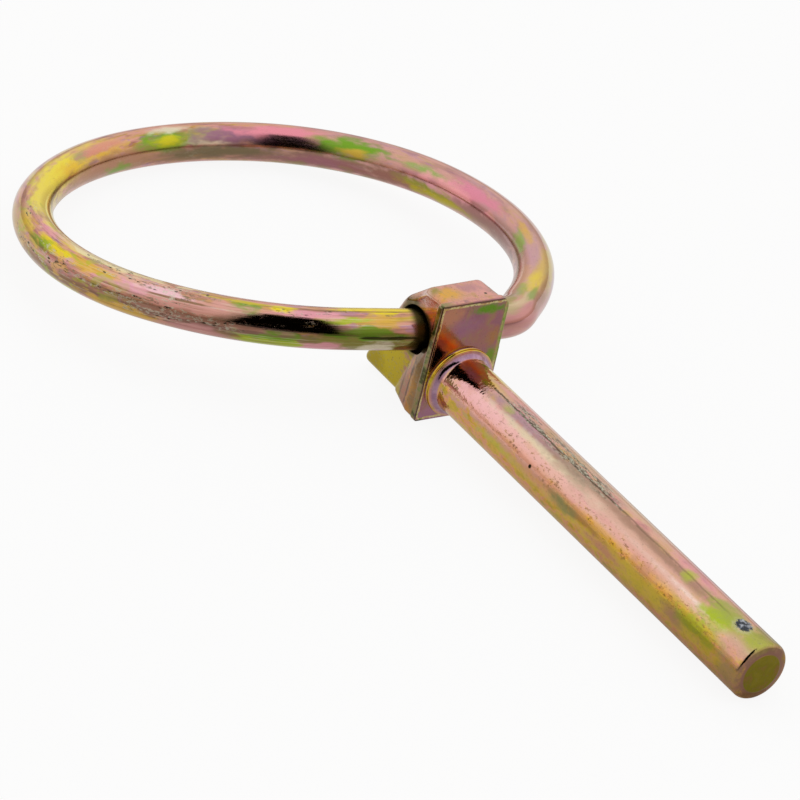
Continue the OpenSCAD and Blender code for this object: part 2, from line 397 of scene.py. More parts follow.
class Wiring:
    """A node tree under construction: each call adds one node and returns its output."""

    def __init__(self, tree):
        self.nodes, self.links = tree.nodes, tree.links
        self.nodes.clear()

    def wire(self, value, socket):
        if isinstance(value, bpy.types.NodeSocket):
            self.links.new(value, socket)
        elif value is not None:
            socket.default_value = value

    def scaled(self, vector, factors, shift=(0, 0, 0)):
        node = self.nodes.new("ShaderNodeMapping")
        self.wire(vector, node.inputs["Vector"])
        node.inputs["Scale"].default_value = factors
        node.inputs["Location"].default_value = shift
        return node.outputs["Vector"]

    def split(self, vector):
        node = self.nodes.new("ShaderNodeSeparateXYZ")
        self.wire(vector, node.inputs[0])
        return node.outputs

    def noise(self, vector, scale, detail=2.0, rough=0.5, bend=0.0):
        node = self.nodes.new("ShaderNodeTexNoise")
        self.wire(vector, node.inputs["Vector"])
        levels = {"Scale": scale, "Detail": detail, "Roughness": rough, "Distortion": bend}
        for name, value in levels.items():
            self.wire(value, node.inputs[name])
        return node.outputs["Fac"]

    def cells(self, vector, scale):
        """Distance to the nearest of many scattered points."""
        node = self.nodes.new("ShaderNodeTexVoronoi")
        self.wire(vector, node.inputs["Vector"])
        node.inputs["Scale"].default_value = scale
        return node.outputs["Distance"]

    def sum_of(self, kind, a, b=0.0, c=0.0, clamp=False):
        node = self.nodes.new("ShaderNodeMath")
        node.operation = kind
        node.use_clamp = clamp
        for value, socket in zip((a, b, c), node.inputs):
            self.wire(value, socket)
        return node.outputs[0]

    def product(self, *values):
        total = values[0]
        for value in values[1:]:
            total = self.sum_of("MULTIPLY", total, value, clamp=True)
        return total

    def step(self, value, low, high, to_low=0.0, to_high=1.0):
        """Eases from one level to another as the value passes between two marks."""
        node = self.nodes.new("ShaderNodeMapRange")
        node.interpolation_type = "SMOOTHSTEP"
        marks = {"From Min": low, "From Max": high, "To Min": to_low, "To Max": to_high}
        for name, number in marks.items():
            self.wire(number, node.inputs[name])
        self.wire(value, node.inputs["Value"])
        return node.outputs["Result"]

    def between(self, value, low, high, ease):
        """1 between two marks, easing to 0 outside them."""
        return self.product(self.step(value, low - ease, low + ease),
                            self.step(value, high + ease, high - ease))

    def round_by(self, up, over):
        """The bearing of a point from its two offsets, in degrees."""
        return self.sum_of("MULTIPLY", self.sum_of("ARCTAN2", up, over), DEGREES)

    def reach(self, up, over):
        """The distance of a point from its two offsets."""
        squares = self.sum_of("MULTIPLY_ADD", up, up, self.sum_of("MULTIPLY", over, over))
        return self.sum_of("SQRT", squares)

    def strip(self, value, stops):
        """A strip of colours, each at its own mark."""
        node = self.nodes.new("ShaderNodeValToRGB")
        strip = node.color_ramp
        for _ in stops[2:]:
            strip.elements.new(0.5)
        for element, (mark, colour) in zip(strip.elements, stops):
            element.position = mark
            element.color = from_screen(colour)
        self.wire(value, node.inputs["Fac"])
        return node.outputs["Color"]

    def blend(self, share, under, over, kind="MIX"):
        node = self.nodes.new("ShaderNodeMix")
        node.data_type = "RGBA"
        node.blend_type = kind
        self.wire(share, node.inputs["Factor"])
        for value, socket in ((under, node.inputs[6]), (over, node.inputs[7])):
            self.wire(from_screen(value) if isinstance(value, str) else value, socket)
        return node.outputs[2]

    def coat(self, share, under, guide, *stops):
        """Lays a strip of colours, picked by a guide, over a colour."""
        return self.blend(share, under, self.strip(guide, stops))

    def spot(self, vector, centre, size, edge, wobble):
        """1 in a soft oval round a place and 0 outside it, with an uneven rim."""
        nearer, way = (self.nodes.new("ShaderNodeVectorMath") for _ in range(2))
        nearer.operation, way.operation = "MULTIPLY_ADD", "LENGTH"
        self.wire(vector, nearer.inputs[0])
        nearer.inputs[1].default_value = tuple(1 / s for s in size)
        nearer.inputs[2].default_value = tuple(-c / s for c, s in zip(centre, size))
        self.wire(nearer.outputs["Vector"], way.inputs[0])
        return self.step(self.sum_of("ADD", way.outputs["Value"], wobble), 1.0 + edge, 1.0 - edge)

    def patches(self, colour, place, wobble, table, edge):
        """Lays patches one over another: place, half sizes, colour, strength."""
        for centre, size, tint, strength in table:
            share = self.product(self.spot(place, centre, size, edge, wobble), strength)
            colour = self.blend(share, colour, tint)
        return colour


def from_screen(code):
    """A colour as seen on a screen, such as c8a070, in Blender's linear light."""
    parts = [int(code[i:i + 2], 16) / 255 for i in (0, 2, 4)]
    return (*(p / 12.92 if p <= 0.04045 else ((p + 0.055) / 1.055) ** 2.4 for p in parts), 1.0)


def new_finish(name):
    material = bpy.data.materials.new(name)
    material.use_nodes = True
    return material, Wiring(material.node_tree)


print("plating bench ready")

# %% [markdown]
# The colours have names, as they would on a plater's card. What lies under them is always
# the same polished metal: only its colour, its polish and its fine relief change.

# %% The plater's card
ROSE, PINK, PEACH, TAN, GOLD, LEMON = "cf9492", "e8a0ac", "dca88c", "c8a680", "dcb04a", "ecd62e"
LIME, GREEN, OLIVE, MAUVE, LILAC, CREAM = "adbd34", "76a030", "8f8d3e", "a57a86", "bb97b0", "e8dcc2"
ORANGE, BROWN, SMOKE, SOOT = "d2823a", "8c6a4c", "9d957c", "26210f"


def metal(plating, colour, rough, height, depth):
    """Plated metal from its colour, roughness and relief; depth is in millimetres."""
    shader = plating.nodes.new("ShaderNodeBsdfPrincipled")
    shader.inputs["Metallic"].default_value = 1.0
    plating.wire(colour, shader.inputs["Base Color"])
    plating.wire(rough, shader.inputs["Roughness"])
    bump = plating.nodes.new("ShaderNodeBump")
    bump.inputs["Strength"].default_value = 1.0
    bump.inputs["Distance"].default_value = depth * MM
    plating.wire(height, bump.inputs["Height"])
    plating.wire(bump.outputs["Normal"], shader.inputs["Normal"])
    out = plating.nodes.new("ShaderNodeOutputMaterial")
    plating.wire(shader.outputs[0], out.inputs["Surface"])


print("palest on the card:", CREAM, "darkest:", SOOT)

# %% [markdown]
# ### The ring's finish
# The ring's colours run in long streaks, partly because drawing leaves fine lines that hold
# the bath and partly as painted shade and painted highlights laid along the wire. A place
# on the wire is given as millimetres along from the left end, and degrees round from the
# outer side: 90 is underneath as the ring lies, 270 is on top.

# %% Patches on the wire, some of them painted shade and highlights: along, round, half length, half width, colour, strength
WIRE_TINTS_AND_LIGHT = [
    # Painted shade: the long dark bands low on the wire's outer side, round -6 to 22, and on the far part's inner
    # side, round 166, stand for the floor's shade seen in the wire, as does the thin dark line on top at 282.
    # Painted highlights: the pale pink bands round -44 to -54, near 30 along.
    (13, 22, 13, 0.9, "6d6b3e", 0.75), (33, 18, 15, 0.8, "876a54", 0.75), (86, 166, 20, 0.9, "8a6a58", 0.8),
    (117, 166, 17, 0.9, "8f6c52", 0.8), (140, 222, 8, 0.5, "a98468", 0.6), (8, 12, 6, 1.0, OLIVE, 0.8),
    (6.5, 258, 4.4, 1.0, LEMON, 1.0), (6.8, 34, 1.4, 0.7, CREAM, 0.8), (7, -40, 2.6, 0.7, GOLD, 0.8),
    (8.3, -12, 3.2, 0.6, GREEN, 0.9), (12.5, 42, 2.2, 0.7, PINK, 0.9), (17, 34, 2.8, 0.9, LIME, 1.0),
    (17.5, 8, 3.5, 0.5, GREEN, 0.9), (19.5, -42, 1.3, 0.9, GREEN, 0.9), (10.5, -48, 2.2, 0.4, LIME, 0.9),
    (13.5, -62, 3.2, 0.5, PINK, 0.9), (12, 282, 8, 0.1, BROWN, 0.8), (16, 288, 1.3, 0.4, LEMON, 1.0),
    (19, 290, 1.5, 0.4, GREEN, 0.8), (5.5, 1, 3, 0.14, SOOT, 0.9), (26, -22, 8.5, 1.4, "d9a096", 0.9),
    (29.5, -54, 4.5, 0.5, "f2c4cc", 0.9), (29, -6, 9, 0.45, "a87a66", 0.8),
    (19.5, -78, 4, 0.2, "d2c040", 0.8), (39, 276, 4.5, 0.3, "dcd040", 0.9), (27, -43, 5, 0.13, BROWN, 0.9),
    (32.5, -30, 2.6, 0.13, BROWN, 0.8), (27, 10, 10, 0.22, "8a665a", 0.9), (42, 12, 7, 0.4, "9a7a5a", 0.8),
    (31, 34, 4.5, 0.6, GOLD, 0.9), (24, 34, 3.2, 0.6, ROSE, 0.8), (33.5, -62, 4, 0.5, PEACH, 0.8),
    (35, -44, 6, 0.5, "e8a8b6", 0.8), (42, 50, 6, 0.5, "c6c832", 0.9), (36, 266, 9, 0.5, "efe2b2", 0.9),
    (35.5, -52, 2.6, 0.6, GOLD, 0.95), (43.5, 276, 3, 0.5, PINK, 0.9), (40.5, -48, 2.6, 0.6, LEMON, 1.0),
    (43, -34, 1.9, 0.5, GREEN, 0.85), (46.8, -40, 2.0, 0.6, LEMON, 0.8), (39, -16, 3.2, 0.6, ROSE, 0.8),
    (49, -10, 5, 1.1, "c4a266", 0.9), (51, 232, 8, 1.5, "ece05c", 1.0), (59, 234, 9.5, 1.5, "f0de3e", 1.0),
    (63, 226, 3, 0.6, "e8b83c", 0.7), (54, 208, 6, 0.25, BROWN, 0.8), (66, 240, 1.5, 0.6, "a59f70", 0.9),
    (69.5, 222, 3.0, 0.5, GOLD, 1.0), (69, 240, 3.2, 0.5, "d98c86", 0.8), (70, 178, 9, 1.0, "b28468", 0.9),
    (71.5, 152, 1.8, 0.6, GREEN, 0.8), (79, 220, 3.0, 1.0, GREEN, 1.0), (79, 216, 1.7, 0.5, "d2c62c", 0.9),
    (79.5, 252, 2.2, 0.5, CREAM, 0.8), (84.5, 203, 2.4, 0.5, CREAM, 0.7), (84, 225, 2, 0.8, "a39a72", 0.7),
    (86, 172, 7, 0.6, "6f6449", 0.85), (89, 222, 5.5, 0.8, "9c6d82", 1.0),
    (92.5, 240, 4.6, 0.8, "e68f9c", 1.0), (100.5, 218, 3.6, 1.0, GREEN, 1.0),
    (101, 206, 1.6, 0.4, GOLD, 0.8), (98, 154, 6, 0.7, "98646c", 0.9), (108, 158, 6, 0.9, "97685c", 0.9),
    (113, 160, 4.2, 0.8, "b2a41c", 0.95), (112, 178, 4, 0.4, OLIVE, 0.8), (111, 197, 2.4, 0.4, MAUVE, 0.9),
    (110.5, 220, 3.0, 0.4, "93b05a", 0.9), (117.5, 204, 6.5, 0.8, "f6aab2", 1.0),
    (119, 226, 4, 0.7, "e08ca2", 0.95), (125, 182, 8, 0.7, "946a62", 0.9),
    (128, 212, 6, 0.5, "bf9a97", 0.8), (138, 214, 7, 0.3, "8f6a58", 0.7),
    (131.5, 232, 2.6, 0.5, "93b04c", 0.95), (132, 258, 4.5, 0.35, GOLD, 0.9),
    (140, 246, 5, 0.6, "e0a88a", 0.8), (139, -62, 5, 1.0, "d9b64c", 0.9), (135, -32, 9, 0.7, "cdbc74", 0.8),
    (143.5, -78, 2.6, 0.6, LEMON, 0.65), (135.5, 258, 3.5, 0.7, "c796aa", 0.8),
    (145.5, 270, 2.0, 0.5, GREEN, 0.6), (147, -20, 2.6, 1.6, ROSE, 0.8),
    (149.5, -50, 1.6, 0.5, "b0aa78", 0.7), (147, -62, 1.8, 0.4, "d6c09a", 0.8),
    (144, -30, 2.4, 0.5, "ac8478", 0.8), (149, -84, 1.4, 0.5, "a49a5c", 0.8),
    (145, -58, 1.4, 0.3, GREEN, 0.7), (142, -44, 2.4, 0.3, "b98f62", 0.8), (62, 10, 5, 1.0, GREEN, 0.7),
    (72, -20, 6, 1.2, GOLD, 0.8), (84, 20, 5, 1.0, LIME, 0.8), (94, -25, 7, 1.2, MAUVE, 0.7),
    (106, 15, 6, 1.3, GOLD, 0.8), (116, -15, 4, 1.1, GREEN, 0.8), (127, 30, 6, 1.2, LEMON, 0.7),
    (136, 0, 4, 1.0, LILAC, 0.8), (24, 150, 6, 1.2, LIME, 0.7), (45, 120, 6, 1.2, MAUVE, 0.7),
    (96, 90, 8, 1.4, OLIVE, 0.7),
]


def on_wire(along, angle):
    return (along, *(WIRE_R * point_at(angle)))


wire_tints_and_light = [(on_wire(s, a), (half, wide, wide), colour, strength)
              for s, a, half, wide, colour, strength in WIRE_TINTS_AND_LIGHT]
print("patches on the wire:", len(wire_tints_and_light))

# %% [markdown]
# The ground is a rose that wanders to gold and green, and the patches lie over it. Towards
# the left end their edges are crisp. Farther round they are softer.

# %% The ring's ground colours and patches
ring_steel, plating = new_finish("ring_plating")
source = plating.nodes.new("ShaderNodeAttribute")
source.attribute_name = "wire_place"
place = source.outputs["Vector"]
along, outward, _ = plating.split(place)
ground = plating.noise(plating.scaled(place, (0.16, 0.8, 0.8)), 1.0, 4.0, 0.55, 0.5)
colour = plating.strip(ground, [(0.3, "b67c78"), (0.4, "cf9288"), (0.5, "dba08e"), (0.58, "cf9c78"),
                                (0.66, "c9a452"), (0.78, GREEN)])
drift = plating.noise(plating.scaled(place, (0.3, 1.4, 1.4), (7, 3, 1)), 1.0, 3.0, 0.6, 0.8)
colour = plating.blend(plating.step(drift, 0.54, 0.62, 0.0, 0.75), colour, "b98aa2")
colour = plating.blend(plating.step(drift, 0.42, 0.35, 0.0, 0.7), colour, "cda33c")
ragged = plating.noise(plating.scaled(place, (0.4, 1.0, 1.0)), 1.3, 2.5, 0.5)
wobble = plating.step(ragged, 0.3, 0.7, -0.45, 0.3)
depth = plating.noise(plating.scaled(place, (0.22, 1.2, 1.2), (3, 9, 4)), 1.2, 3.0, 0.6)
colour = plating.blend(plating.step(depth, 0.52, 0.36, 0.0, 0.5), colour, "a39489", "MULTIPLY")
# The far end of the wire is pinker than the rest
late = plating.product(plating.step(along, 82, 104), 0.6)
colour = plating.coat(late, colour, ragged, (0.4, "b58a90"), (0.55, "d0a09c"))
# Up to here along the wire, the patches have crisp edges
CRISP_UP_TO = 48
crisp = [patch for patch in wire_tints_and_light if patch[0][0] < CRISP_UP_TO]
soft = [patch for patch in wire_tints_and_light if patch[0][0] >= CRISP_UP_TO]
colour = plating.patches(colour, place, wobble, crisp, 0.35)
colour = plating.patches(colour, place, wobble, soft, 0.6)
print("crisp patches:", len(crisp), "soft patches:", len(soft))

# %% [markdown]
# Scuffs and pits come last, as they do in use: the lower left of the ring is the most
# worn, and there they flock together, as knocks do. Both ends are rougher, and carry
# painted shade where they sit in the hinge hole.

# %% Drawn lines, scuffs and pits on the ring, and painted shade at its ends
streaks = plating.noise(plating.scaled(place, (0.07, 2.2, 2.2)), 2.2, 3.0, 0.65)
drawn = plating.step(along, 52, 40, 0.08, 1.0)
pale_lines = plating.product(drawn, plating.step(streaks, 0.54, 0.72, 0.0, 0.5))
dark_lines = plating.product(drawn, plating.step(streaks, 0.47, 0.3, 0.0, 0.6))
colour = plating.blend(dark_lines, plating.blend(pale_lines, colour, CREAM), BROWN)
fine = plating.noise(plating.scaled(place, (0.5, 1, 1)), 4.0, 4.0, 0.75)
worn = plating.spot(place, on_wire(33, -35), (19, 2.4, 2.4), 0.5, wobble)
mottle = plating.noise(plating.scaled(place, (0.5, 1, 1)), 0.8, 3.0, 0.55, 0.6)
later = plating.product(worn, plating.step(along, 27, 36), 0.55)
colour = plating.blend(plating.product(later, plating.step(mottle, 0.55, 0.62)), colour, LIME)
colour = plating.blend(plating.product(later, plating.step(mottle, 0.46, 0.38)), colour, "e8bc62")
nicked = plating.spot(place, on_wire(11, -44), (5.5, 1.0, 1.0), 0.5, wobble)
worn = plating.sum_of("MAXIMUM", worn, nicked)
flock = plating.noise(plating.scaled(place, (0.22, 1.1, 1.1), (5, 1, 8)), 0.8, 2.5, 0.5)
flock = plating.step(flock, 0.53, 0.59)
scuffs = plating.product(flock, plating.step(worn, 0, 1, 0.15, 1.0), plating.step(fine, 0.51, 0.57))
colour = plating.coat(plating.product(scuffs, 0.7), colour, mottle, (0.42, "77705a"), (0.55, "cfcab4"))
pits = plating.step(plating.cells(plating.scaled(place, (0.4, 1, 1)), 2.6), 0.34, 0.18)
pits = plating.product(pits, plating.step(fine, 0.45, 0.5), plating.step(flock, 0, 1, 0.08, 1.0),
                       plating.step(worn, 0, 1, 0.1, 1.0))
colour = plating.blend(plating.product(pits, 0.9), colour, SOOT)
# The two ends carry painted shade where they lie in the hinge hole, and a rougher polish,
# from this far out, in millimetres, down to this far in
SHADE_AND_DULL_FROM, SHADE_AND_DULL_TO = 3.8, 3.0
dull_ends_and_shade = plating.sum_of("MAXIMUM", plating.step(along, SHADE_AND_DULL_FROM, SHADE_AND_DULL_TO),
                      plating.step(along, wire_length - SHADE_AND_DULL_FROM, wire_length - SHADE_AND_DULL_TO))
# Painted shade: both ends coloured dark olive
colour = plating.blend(dull_ends_and_shade, colour, "4a4424")
rough = plating.sum_of("ADD", plating.step(streaks, 0.3, 0.7, 0.03, 0.09), plating.product(scuffs, 0.25))
rough = plating.sum_of("ADD", rough, plating.product(dull_ends_and_shade, 0.3))
inner = plating.product(plating.step(outward, -0.4, -1.5), plating.step(along, 45, 60))
rough = plating.sum_of("MULTIPLY_ADD", inner, 0.13, rough)
relief = plating.sum_of("MULTIPLY_ADD", streaks, drawn, plating.product(fine, 0.15))
relief = plating.sum_of("MULTIPLY_ADD", pits, -0.8, relief)
metal(plating, colour, rough, relief, 0.012)
ring.data.materials.clear()
ring.data.materials.append(ring_steel)
print("ring finish nodes", len(plating.nodes))

# %% [markdown]
# ### The pin's finish
# The pin hung nose-down in the bath, so its underside dried last and is yellow to olive,
# and its top is rose. A bare silver spot near the tip shows where it hung on its hook,
# and a dark line along the top is where the two dies met. Places are in millimetres from
# the shank's axis at the flange's face.

# %% Patches on the shank, some of them painted highlights, shade and reflections: along, degrees from the top to the near side, half sizes, colour, strength
SHANK_TINTS_AND_LIGHT = [
    # Painted reflection: the orange patch at 2.6 along and the dark one at 3 along stand for reflections next to
    # the collar. Painted highlights: the pale pink and cream bands 30 to 55 degrees round, from 8 to 37 along.
    # Painted shade: the brown bands about 16 to 22 degrees round, from 22 to 35 along.
    (2.6, 8, 2.6, 0.8, "dd7c34", 1.0), (4.6, 2, 1.4, 0.7, "e0b23e", 0.9),
    (5.5, -32, 3.4, 1.4, "e3cb50", 1.0), (6.4, -12, 3.2, 0.9, "e0c45c", 0.9),
    (3, 28, 2.2, 0.8, "8c5a58", 0.8), (8, 52, 6, 1.1, "f6bfc2", 0.95), (20, 46, 10, 0.9, "f0bdb4", 0.85),
    (22, 22, 17, 0.6, "a57f70", 0.9), (11, -6, 9, 0.5, "c29c84", 0.8), (17, 34, 8, 0.35, "e4d4b2", 0.8),
    (27, 30, 6, 0.35, "c2ba92", 0.7), (36, 46, 12, 0.6, "f4c8b8", 0.8), (37, 38, 11, 0.22, "fbe6dc", 0.8),
    (26, 44, 3, 0.3, "f6a8b4", 0.7), (33, 50, 3, 0.3, "f4a4a8", 0.7), (12, 86, 5, 0.4, "d9cf5a", 0.8),
    (19, 84, 5, 0.4, "f2b48c", 0.8), (28, 66, 3.5, 0.4, "e6b440", 0.8), (36, 60, 4.5, 0.5, "e8b458", 0.8),
    (42.5, 64, 3.5, 0.45, "e2a850", 0.8), (38, 76, 5.5, 0.35, "f4c24c", 0.85),
    (30, 78, 3, 0.3, "f2b860", 0.8), (22.5, 72, 3, 0.3, "eeba64", 0.7), (45, 78, 2.2, 0.35, "eec24c", 0.8),
    (36, 88, 14, 0.8, "f4dc58", 0.8), (14, 70, 9, 0.5, "eeb09a", 0.7), (24, 76, 4, 0.3, "c08a4e", 0.7),
    (25, -20, 12, 0.7, "dcbda4", 0.7), (11.5, 14, 5.5, 0.6, LILAC, 0.45), (9.3, 20, 0.7, 0.4, LIME, 0.5),
    (9, -16, 3.2, 0.8, PINK, 0.7), (23.5, 24, 5, 0.8, SMOKE, 0.7), (25, 36, 1.3, 0.5, CREAM, 0.8),
    (31, 34, 9, 1.0, "dfae9c", 0.8), (35, 16, 10, 0.45, "a07c66", 0.75), (39, -14, 4, 1.0, PINK, 0.6),
    (38.3, 8, 0.7, 0.7, LIME, 0.75), (44.4, 30, 2.1, 1.1, LIME, 1.0), (44.6, 6, 2.6, 1.0, "a3ab50", 0.85),
    (48.7, 10, 1.8, 1.6, "a9b04a", 0.9), (48.5, -22, 1.6, 1.2, OLIVE, 0.6),
    (47.8, 55, 1.8, 1.0, "d9a596", 0.8), (40, 84, 1.4, 0.7, ROSE, 0.7), (10, -80, 5, 1.3, LIME, 0.8),
    (22, -70, 6, 1.2, ROSE, 0.8), (33, -95, 7, 1.4, "d8b85a", 0.8), (43, -60, 3, 1.2, PINK, 0.8),
    (16, -130, 6, 1.5, OLIVE, 0.7), (38, -150, 6, 1.5, MAUVE, 0.6), (34.5, 60, 1.6, 0.5, "c98f80", 0.6),
    (22, 80, 1.6, 0.5, "9aa06a", 0.8), (29, 88, 2.4, 0.4, "e79c94", 0.7), (43, 70, 3.2, 0.8, LIME, 0.8),
    (49, 100, 1.6, 1.6, TAN, 0.7),
]


def on_shank(along, angle):
    up, left = SHANK_R * point_at(angle)
    return (along, -left, up)


shank_tints_and_light = [(on_shank(x, a), (half, wide, wide), colour, strength)
               for x, a, half, wide, colour, strength in SHANK_TINTS_AND_LIGHT]
print("patches on the shank:", len(shank_tints_and_light))

# %% Patches on the head and the tip, some of them painted reflections and a highlight: place, half sizes, colour, strength
FORGED_TINTS_AND_LIGHT = [
    # Painted reflection: the orange and dark brown patches in the cove left of the flange, at -1.6 and -1.5 along,
    # and the orange ones low on the flange's face. Painted highlight: the pale pink patch at the crown's upper
    # left corner, at -3.9 along.
    ((-2.3, -1.7, 8.8), (1.0, 1.3, 0.9), "dda845", 1.0), ((-3.5, -2.6, 8.3), (0.6, 0.5, 0.7), OLIVE, 0.8),
    ((-3.9, -3.1, 7.7), (0.7, 0.8, 0.7), "e0c6be", 0.9), ((-2.5, 2.2, 8.8), (1.8, 1.5, 0.9), "dfa09a", 0.8),
    ((-1.6, 3.3, 8.5), (0.8, 0.8, 0.7), "a98d86", 0.7), ((-1.6, -4.0, 6.6), (1.2, 1.0, 1.2), ORANGE, 0.9),
    ((-5.6, -3.3, 5.4), (1.6, 0.8, 1.6), "6a6340", 0.9), ((-4.9, 0, 8.5), (0.35, 4.5, 0.6), "6e6a4c", 0.8),
    ((-3.0, 1.0, 8.9), (0.8, 1.2, 0.5), "b5848a", 0.7),
    ((-1.5, -4.0, 2.5), (1.2, 1.0, 2.4), "5c4a26", 0.75),
    ((-7.6, -3.4, 1.4), (2.2, 1.0, 0.4), "7d7414", 0.8),
    ((-9.5, -3.0, -2.8), (1.6, 1.6, 1.3), "a8931e", 0.9),
    ((-2.4, -4.2, -0.6), (0.16, 1.0, 2.8), "5b4026", 0.8),
    ((-3.8, -4.0, -1.8), (0.2, 1.0, 1.8), "6b4a34", 0.7),
    ((-4.5, 3.6, 6.5), (1.8, 1.0, 1.6), "8d8a3a", 0.7), ((-2.6, 3.8, 1.0), (1.6, 1.0, 2.0), "c79a52", 0.8),
    ((-7.5, 3.2, 0.5), (2.4, 1.0, 1.6), "b58a96", 0.7),
    ((-10.5, 0.5, -1.5), (1.6, 2.4, 1.6), "c2a83a", 0.8),
    ((-6.5, 0.5, 6.5), (1.4, 2.2, 1.4), "d0a060", 0.7), ((-8.2, -0.5, 3.6), (1.2, 1.6, 1.4), "7f9a44", 0.6),
    ((0, 1.7, 8.0), (0.3, 1.5, 0.5), "62981c", 0.9), ((0, -2.8, 7.6), (0.3, 1.5, 1.2), "c98c6c", 0.85),
    ((0, 2.9, 4.7), (0.3, 0.6, 0.8), "b5832e", 0.8), ((0, 3.3, 2.4), (0.3, 0.7, 1.0), "76962a", 0.9),
    ((0, -0.8, 6.2), (0.3, 1.6, 1.0), "a4718a", 0.7), ((0, -3.0, 4.5), (0.3, 1.2, 1.6), "c06f4c", 0.8),
    ((0, -1.9, 4.2), (0.3, 0.8, 0.6), "d8903c", 0.8), ((0, -2.5, -3.4), (0.3, 2.2, 1.2), "b07f96", 0.9),
    ((0, 1.5, 4.6), (0.3, 1.8, 1.2), "a77468", 0.6), ((50, 0.6, -0.4), (0.3, 3.2, 3.2), "b58a78", 1.0),
    ((50, -0.4, -2.4), (0.3, 1.8, 0.8), "9b7441", 0.8),
]

# %% The pin's ground colours
pin_steel, plating = new_finish("pin_plating")
source = plating.nodes.new("ShaderNodeTexCoord").outputs["Object"]
turn = plating.nodes.new("ShaderNodeMapping")
plating.wire(plating.scaled(source, (1 / MM,) * 3), turn.inputs["Vector"])
turn.inputs["Rotation"].default_value = pin_turn.inverted().to_euler()
turn.inputs["Location"].default_value = (COLLAR_L, 0, 0)
place = turn.outputs["Vector"]
along, across, height = plating.split(place)
round_by = plating.round_by(plating.sum_of("MULTIPLY", across, -1), height)
off_axis = plating.reach(across, height)
ground = plating.noise(plating.scaled(place, (0.25, 0.7, 0.7)), 1.0, 4.0, 0.55, 0.5)
fine = plating.noise(plating.scaled(place, (0.6, 1, 1)), 3.6, 4.0, 0.72)
ragged = plating.noise(plating.scaled(place, (0.6, 1, 1)), 1.3, 4.0, 0.6)
wobble = plating.step(ragged, 0.3, 0.7, -0.4, 0.3)
patchy = plating.noise(plating.scaled(place, (0.5, 1, 1), (3, 5, 2)), 0.9, 4.0, 0.6)
top_colour = plating.strip(ground, [(0.3, "ad7c82"), (0.4, "d6988f"), (0.5, "e0ab98"), (0.6, "d3ab78"),
                                    (0.72, "b9a256")])
# The underside's colour starts this many degrees from the top, and its edge is uneven
BORDER_NEAR, BORDER_FAR = 78, 56
border = plating.step(along, 20, 30, BORDER_NEAR, BORDER_FAR)
uneven = plating.sum_of("ADD", plating.step(fine, 0.3, 0.7, -10, 10),
                        plating.step(ragged, 0.32, 0.68, -20, 20))
past = plating.sum_of("ADD", plating.sum_of("ABSOLUTE", round_by), uneven)
underside = plating.step(plating.sum_of("SUBTRACT", past, border), -12, 12)
on_the_shank = plating.step(along, 0.8, 1.2)
colour = plating.coat(plating.product(underside, on_the_shank), top_colour, patchy, (0.36, "dabb4a"),
                      (0.44, "f2c45c"), (0.5, "f6ac8c"), (0.56, "eeb84e"), (0.64, "c6ac3e"))
colour = plating.patches(colour, place, wobble, shank_tints_and_light, 0.7)
print("patches on the shank:", len(SHANK_TINTS_AND_LIGHT))

# %% [markdown]
# The head is mauve in front, rose on its crown and yellow low on its sides. The tip was
# faced off, so its middle is flatter and greener.

# %% Head and tip
mauve_face = plating.strip(ground, [(0.35, "9c6a76"), (0.5, "a67074"), (0.62, "a57f66")])
crown = plating.strip(ragged, [(0.32, "a87c7e"), (0.44, "d0948a"), (0.54, "dca090"), (0.66, "c99a72")])
side_mark = plating.sum_of("ADD", along, plating.step(ragged, 0.3, 0.7, -0.9, 0.9))
low_side = plating.product(plating.step(across, -2.3, -2.9), plating.step(height, 3.0, 1.4))
crown = plating.coat(low_side, crown, plating.step(side_mark, -11, 0), (0.0, "c4b01a"), (0.64, "c0a92a"),
                     (0.74, "b08668"), (0.84, "b5765e"), (0.93, "c48f4a"), (1.0, "9a7a58"))
head_colour = plating.blend(plating.step(along, -0.25, -0.1), crown, mauve_face)
forged = plating.step(along, 0.3, 0.1)
colour = plating.blend(forged, colour, head_colour)
tip_end = plating.step(along, SHANK_L - 0.1, SHANK_L - 0.04)
colour = plating.blend(tip_end, colour, "b58a78")
colour = plating.patches(colour, place, wobble, FORGED_TINTS_AND_LIGHT, 0.65)
faced = plating.product(tip_end, plating.step(off_axis, TIP_FACE_R + 0.1, TIP_FACE_R - 0.05))
colour = plating.coat(faced, colour, ground, (0.4, "a59a30"), (0.55, "9c9428"), (0.66, "a88a44"))
print("patches on the head and tip:", len(FORGED_TINTS_AND_LIGHT))

# %% [markdown]
# The flange carries a thin raised lip where the dies squeezed metal out, with a groove
# outside it that is painted dark as shade on the left and the top, and a rough edge where
# the rest was trimmed off. The collar's rim is bright gold, and its sweep is lilac.

# %% Flange lip and collar
# The flange's reach up and down, half its width at top and foot, and its shift sideways
FLANGE_UP, FLANGE_DOWN, TOP_HALF, FOOT_HALF, OFF_MIDDLE = 9.0, 4.05, 4.05, 4.27, 0.07
half_width = plating.step(height, -4, FLANGE_UP, FOOT_HALF, TOP_HALF)
middle_out = plating.sum_of("ABSOLUTE", plating.sum_of("ADD", across, OFF_MIDDLE))
# Distance outside the flange's outline, negative inside it
edge_way = plating.sum_of("MAXIMUM", plating.sum_of("SUBTRACT", middle_out, half_width),
                          plating.sum_of("SUBTRACT", height, FLANGE_UP))
edge_way = plating.sum_of("MAXIMUM", edge_way, plating.sum_of("SUBTRACT", -FLANGE_DOWN, height))
flange_only = plating.product(plating.step(along, -0.5, -0.3), forged)
lip_way = plating.sum_of("ADD", edge_way, plating.step(ragged, 0.3, 0.7, -0.08, 0.08))
LIP_OUT, LIP_IN = 0.22, 0.42
lip = plating.product(flange_only, plating.between(lip_way, -LIP_IN, -LIP_OUT, 0.05))
left_or_top = plating.sum_of("MAXIMUM", plating.step(across, -3.1, -3.6), plating.step(height, 8.2, 8.5))
